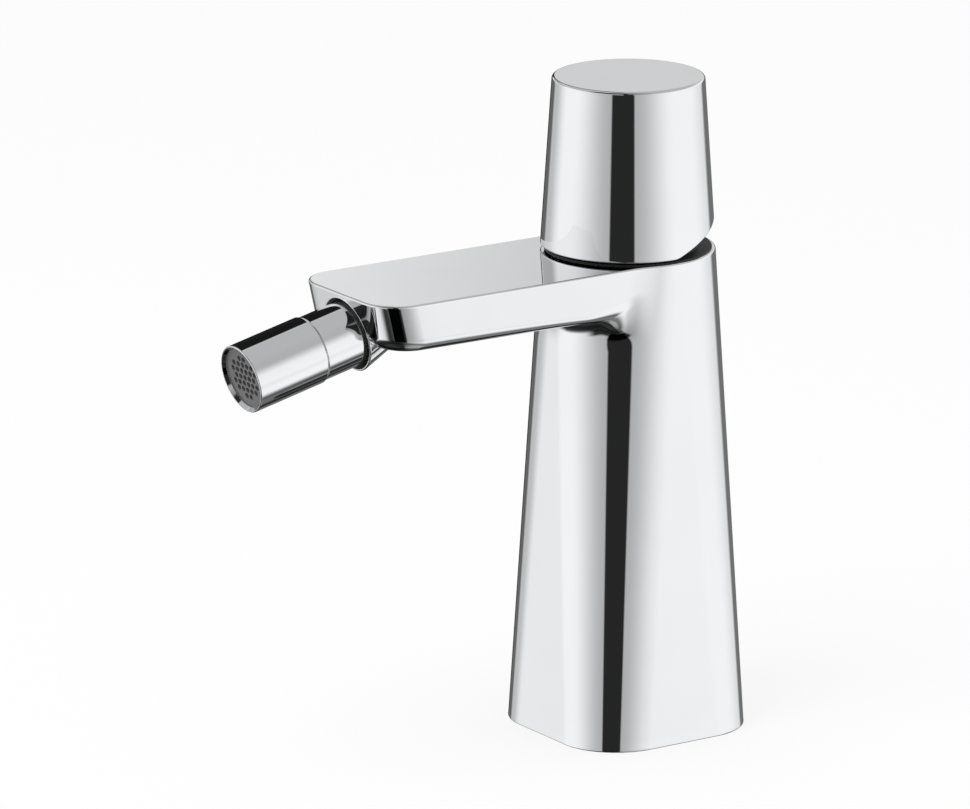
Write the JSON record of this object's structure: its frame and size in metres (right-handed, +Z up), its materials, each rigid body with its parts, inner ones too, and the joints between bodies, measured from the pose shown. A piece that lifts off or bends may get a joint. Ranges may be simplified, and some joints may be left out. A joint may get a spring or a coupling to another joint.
{
  "type": "bidet mixer",
  "caption": "Single-lever bidet mixer: tapered column with a flat spout, a conical knob that tilts and turns over a disc cartridge, and a nozzle on a ball joint.",
  "frame": {"origin": "centre of the column's base on the deck face", "axes": "+Z up along the column, -Y along the spout, +X to the side"},
  "size_m": [0.0564, 0.1553, 0.1828],
  "materials": {
    "chrome_plate": "bright chrome plate over polished brass",
    "brass": "turned",
    "steel": "drawn and turned",
    "black_rubber": "moulded matt",
    "white_ceramic": "lapped",
    "blue_plastic": "moulded",
    "white_plastic": "moulded",
    "red_plastic": "moulded",
    "black_plastic": "moulded",
    "grey_plastic": "moulded"
  },
  "bodies": {
    "mixer": {"mixer_body": "chrome_plate", "base_gasket": "black_rubber", "cartridge_base": "white_plastic", "port_seals": "black_rubber", "fixed_disc": "white_ceramic", "cartridge_housing": "blue_plastic", "cartridge_o_ring": "black_rubber", "hot_limit_ring": "red_plastic", "cartridge_nut": "brass", "cover_ring": "black_plastic", "ball_stud": "chrome_plate", "ball_stud_seal": "black_rubber"},
    "guide": {"rotor_guide": "white_plastic", "rotor_seal": "black_rubber", "pivot_pin": "steel"},
    "knob": {"lever_stem": "brass", "knob_shell": "chrome_plate", "knob_adaptor": "black_plastic", "grub_screw": "steel", "grub_screw_plug": "chrome_plate"},
    "disc": {"disc_carrier": "blue_plastic", "moving_disc": "white_ceramic"},
    "cup": {"ball_cup": "white_plastic"},
    "nozzle": {"swivel_housing": "chrome_plate", "swivel_retainer": "brass", "aerator_washer": "black_rubber", "aerator_mesh": "steel", "aerator_insert": "grey_plastic", "nozzle_sleeve": "chrome_plate"}
  },
  "joints": [
    {"name": "temperature_turn", "type": "hinge", "parent": "mixer", "child": "guide", "pos_m": [0, 0, 0.128], "axis": [0, 0, 1], "range_deg": [-45, 45]},
    {"name": "flow_tilt", "type": "hinge", "parent": "guide", "child": "knob", "pos_m": [0, 0, 0.128], "axis": [-1, 0, 0], "range_deg": [0, 16]},
    {"name": "disc_slide", "type": "slide", "parent": "guide", "child": "disc", "axis": [0, -1, 0], "range_m": [0, 0.00194]},
    {"name": "nozzle_yaw", "type": "hinge", "parent": "mixer", "child": "cup", "pos_m": [0, -0.09086, 0.12362], "axis": [0, -0.225, 0.9744], "range_deg": [-10, 10]},
    {"name": "nozzle_pitch", "type": "hinge", "parent": "cup", "child": "nozzle", "pos_m": [0, -0.09086, 0.12362], "axis": [1, 0, 0], "range_deg": [-10, 10]}
  ],
  "couplings": [
    {"joint": "disc_slide", "follows": "flow_tilt", "m_per_rad": 0.00691}
  ]
}
